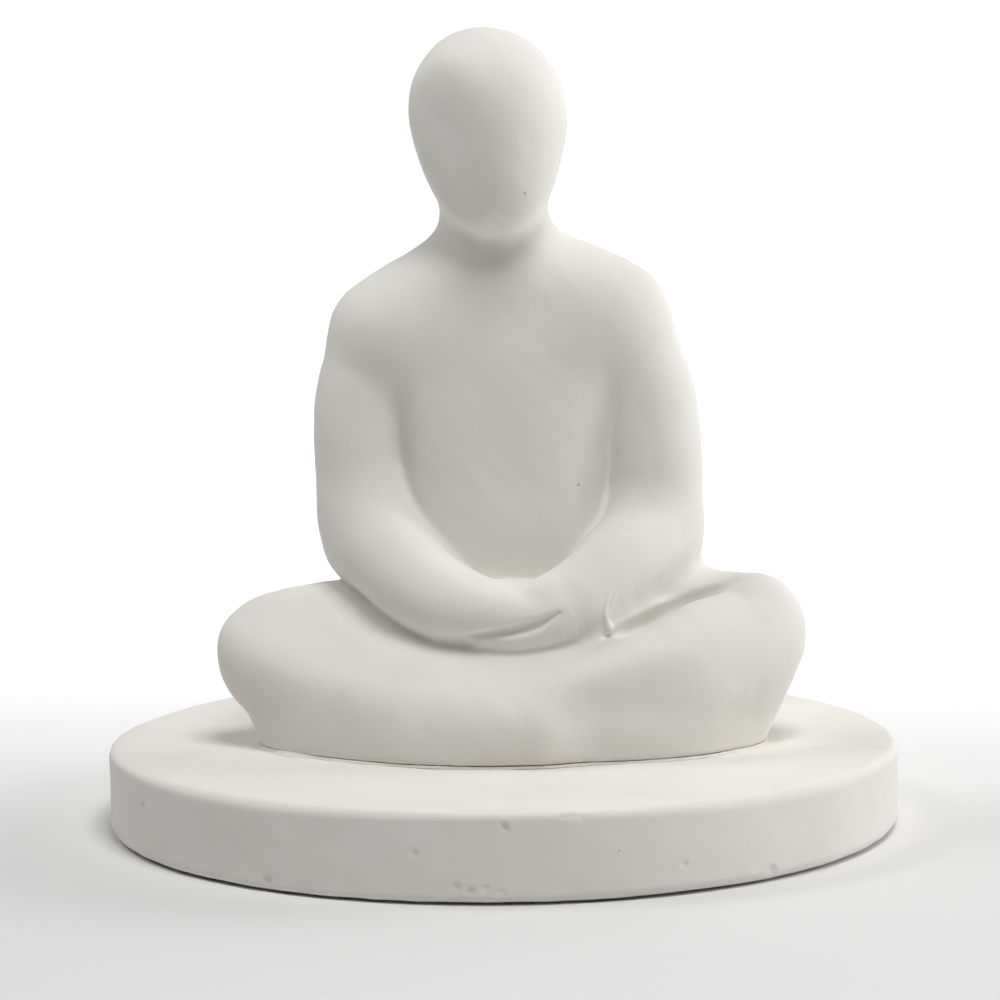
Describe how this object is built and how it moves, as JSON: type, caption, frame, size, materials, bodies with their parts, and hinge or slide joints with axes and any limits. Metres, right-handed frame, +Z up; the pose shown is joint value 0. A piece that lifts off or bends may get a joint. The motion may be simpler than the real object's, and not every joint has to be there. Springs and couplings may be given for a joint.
{
  "type": "statuette",
  "caption": "Seated meditating figure in white plaster, faceless and smooth, hands in the lap, on a plain round plinth with rounded edges.",
  "frame": {"origin": "centre of the plinth, on the surface that the felt pads stand on", "axes": "+Z up, -Y the way the figure faces, +X towards its left knee, on the viewer's right"},
  "size_m": [0.18, 0.18, 0.18],
  "materials": {
    "figure_plaster": "cast gypsum plaster, matt, finely sanded, with a few air holes",
    "plinth_plaster": "cast gypsum plaster, matt, finely sanded, with a few air holes",
    "bedding_plaster": "gypsum plaster wiped into the joint, rough",
    "beech": "turned, unfinished",
    "felt": "pressed wool felt"
  },
  "bodies": {
    "root": {"plinth": "plinth_plaster", "figure": "figure_plaster", "bedding_plaster": "bedding_plaster", "dowel_left": "beech", "dowel_right": "beech", "felt_pad_front_left": "felt", "felt_pad_front_right": "felt", "felt_pad_back_right": "felt", "felt_pad_back_left": "felt"}
  },
  "joints": []
}
